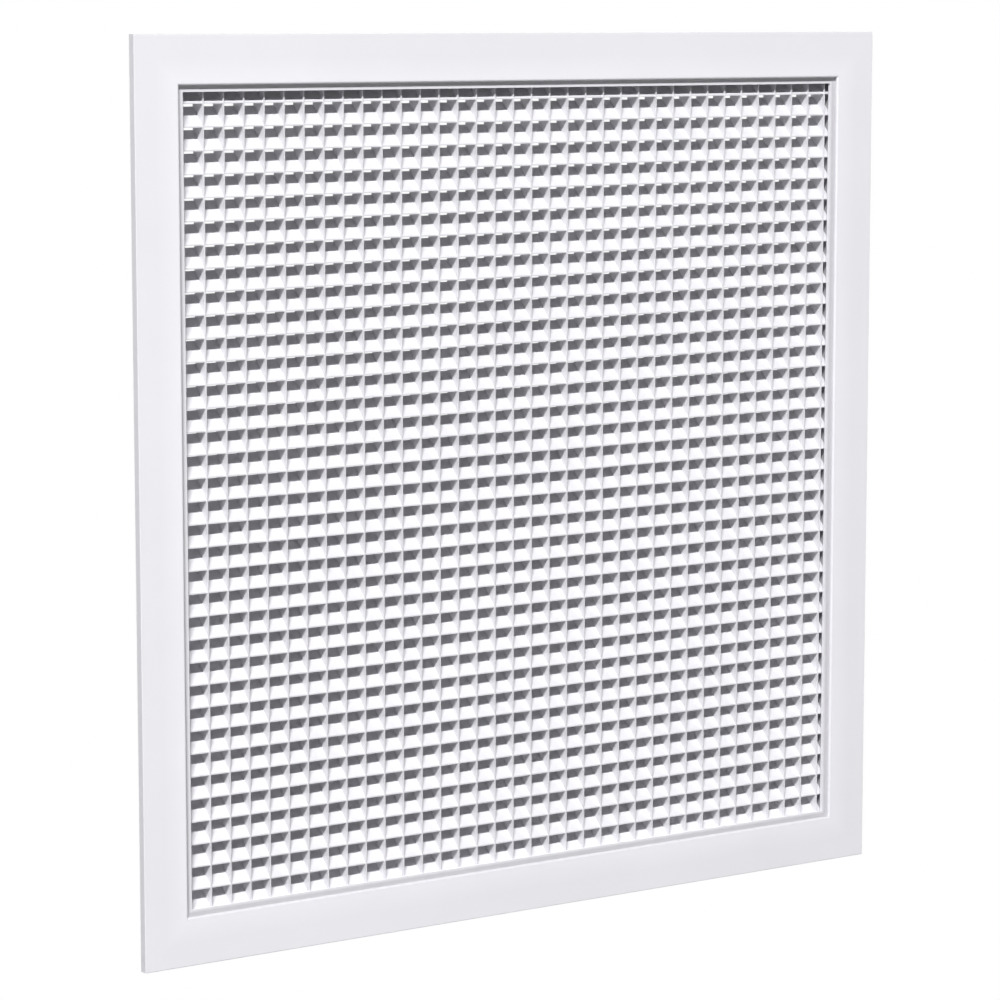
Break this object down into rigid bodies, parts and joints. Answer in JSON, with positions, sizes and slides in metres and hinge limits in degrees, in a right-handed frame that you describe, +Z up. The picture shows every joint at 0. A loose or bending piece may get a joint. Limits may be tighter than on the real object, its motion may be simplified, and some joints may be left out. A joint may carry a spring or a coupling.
{
  "type": "eggcrate ceiling grille",
  "caption": "Square eggcrate grille with a flat border, a recessed core of upright strips and tilted blades, and a short neck that enters a square ceiling opening.",
  "frame": {"origin": "middle of the grille's square opening, in the plane of the border's rear rim, which bears on the ceiling or wall round the opening", "axes": "+Y points from the grille's face into the opening, +Z up the face as pictured (the blades' front edges are their low edges), +X to the right as seen from in front. In a ceiling the face looks down."},
  "size_m": [0.6, 0.03, 0.6],
  "materials": {
    "frame_paint": "satin white powder coat on extruded aluminium",
    "core_paint": "satin white coat on rolled aluminium strip",
    "key_metal": "bare, as extruded"
  },
  "bodies": {
    "root": {"blade_01": "core_paint", "blade_02": "core_paint", "blade_03": "core_paint", "blade_04": "core_paint", "blade_05": "core_paint", "blade_06": "core_paint", "blade_07": "core_paint", "blade_08": "core_paint", "blade_09": "core_paint", "blade_10": "core_paint", "blade_11": "core_paint", "blade_12": "core_paint", "blade_13": "core_paint", "blade_14": "core_paint", "blade_15": "core_paint", "blade_16": "core_paint", "blade_17": "core_paint", "blade_18": "core_paint", "blade_19": "core_paint", "blade_20": "core_paint", "blade_21": "core_paint", "blade_22": "core_paint", "blade_23": "core_paint", "blade_24": "core_paint", "blade_25": "core_paint", "blade_26": "core_paint", "blade_27": "core_paint", "blade_28": "core_paint", "blade_29": "core_paint", "blade_30": "core_paint", "blade_31": "core_paint", "blade_32": "core_paint", "blade_33": "core_paint", "blade_34": "core_paint", "blade_35": "core_paint", "blade_36": "core_paint", "corner_key_bottom_left": "key_metal", "corner_key_bottom_right": "key_metal", "corner_key_top_left": "key_metal", "corner_key_top_right": "key_metal", "frame_bottom": "frame_paint", "frame_left": "frame_paint", "frame_right": "frame_paint", "frame_top": "frame_paint", "strip_set_01": "core_paint", "strip_set_02": "core_paint", "strip_set_03": "core_paint", "strip_set_04": "core_paint", "strip_set_05": "core_paint", "strip_set_06": "core_paint", "strip_set_07": "core_paint", "strip_set_08": "core_paint", "strip_set_09": "core_paint", "strip_set_10": "core_paint", "strip_set_11": "core_paint", "strip_set_12": "core_paint"}
  },
  "joints": []
}
